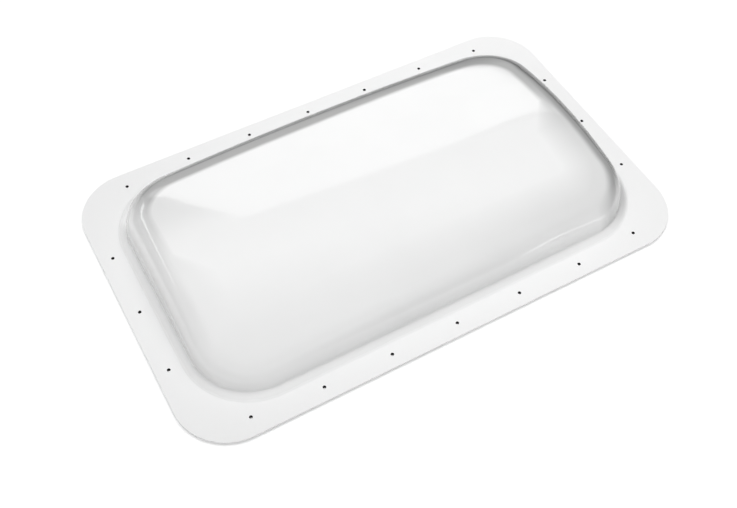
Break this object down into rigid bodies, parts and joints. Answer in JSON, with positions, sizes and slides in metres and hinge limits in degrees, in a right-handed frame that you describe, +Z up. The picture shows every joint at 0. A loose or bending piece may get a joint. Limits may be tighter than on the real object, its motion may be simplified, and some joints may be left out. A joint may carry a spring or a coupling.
{
  "type": "rv skylight",
  "caption": "Fixed caravan roof skylight: a moulded white dome with a flat screwed flange, bedded on a sealing strip.",
  "frame": {"origin": "under the middle of the sealing strip, on the roof's surface", "axes": "+X along the flange's long side, +Z up out of the roof, +Y to the back"},
  "size_m": [0.7652, 0.473, 0.0799],
  "materials": {
    "dome": "glossy translucent white",
    "seal": "matt black"
  },
  "bodies": {
    "root": {"dome_shell": "dome", "front_seal": "seal", "back_seal": "seal", "left_seal": "seal", "right_seal": "seal"}
  },
  "joints": []
}
